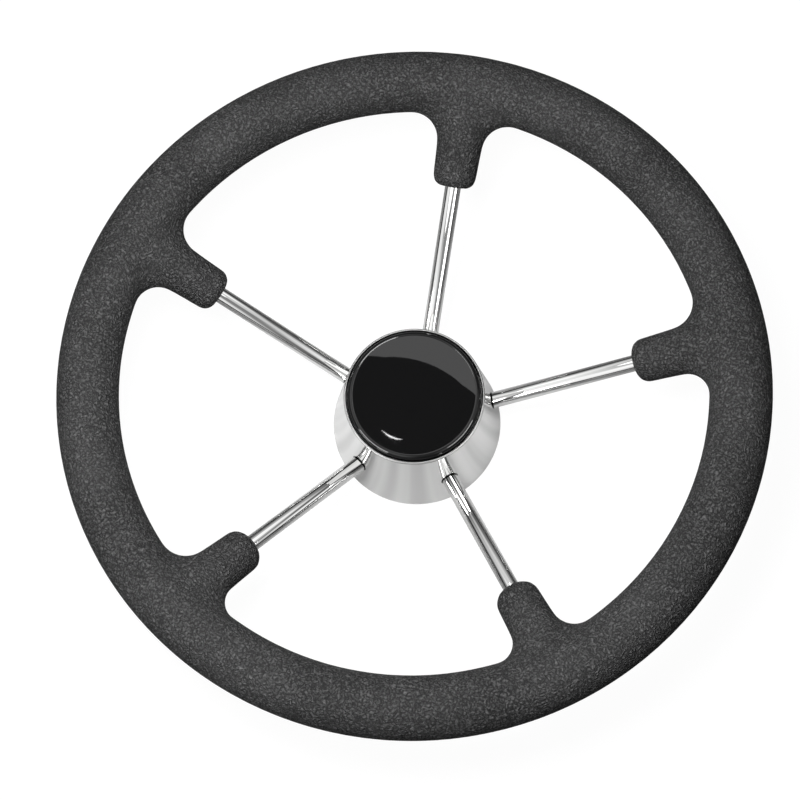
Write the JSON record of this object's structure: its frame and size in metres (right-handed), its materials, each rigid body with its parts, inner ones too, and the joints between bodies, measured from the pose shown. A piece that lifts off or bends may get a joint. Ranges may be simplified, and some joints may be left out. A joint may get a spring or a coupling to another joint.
{
  "type": "boat steering wheel",
  "caption": "Stainless boat steering wheel with sloping round spokes, a cone-shaped hub, a foam grip with spoke lugs and a pull-off centre cap.",
  "frame": {"origin": "centre of the hub's back face, which is also the bottom of the whole part", "axes": "+Z along the shaft's axis towards the driver, +Y towards the top spoke, +X to the driver's right"},
  "size_m": [0.343, 0.343, 0.0885],
  "materials": {
    "foam": "matt grained foam skin",
    "spoke_steel": "mirror-polished stainless steel",
    "shell_steel": "mirror-polished stainless steel",
    "ring_steel": "plain stainless steel",
    "boss_steel": "turned stainless steel",
    "cap_plastic": "glossy black",
    "seal_rubber": "smooth black rubber"
  },
  "bodies": {
    "wheel": {"grip": "foam", "rim_tube": "ring_steel", "spoke_1": "spoke_steel", "spoke_2": "spoke_steel", "spoke_3": "spoke_steel", "spoke_4": "spoke_steel", "spoke_5": "spoke_steel", "hub_shell": "shell_steel", "back_plate": "ring_steel", "hub_boss": "boss_steel", "cap_seat_ring": "ring_steel"},
    "cap": {"centre_cap": "cap_plastic", "cap_o_ring": "seal_rubber"}
  },
  "joints": [
    {"name": "cap_pull", "type": "slide", "parent": "wheel", "child": "cap", "axis": [0, 0, 1], "range_m": [0, 0.03]}
  ]
}
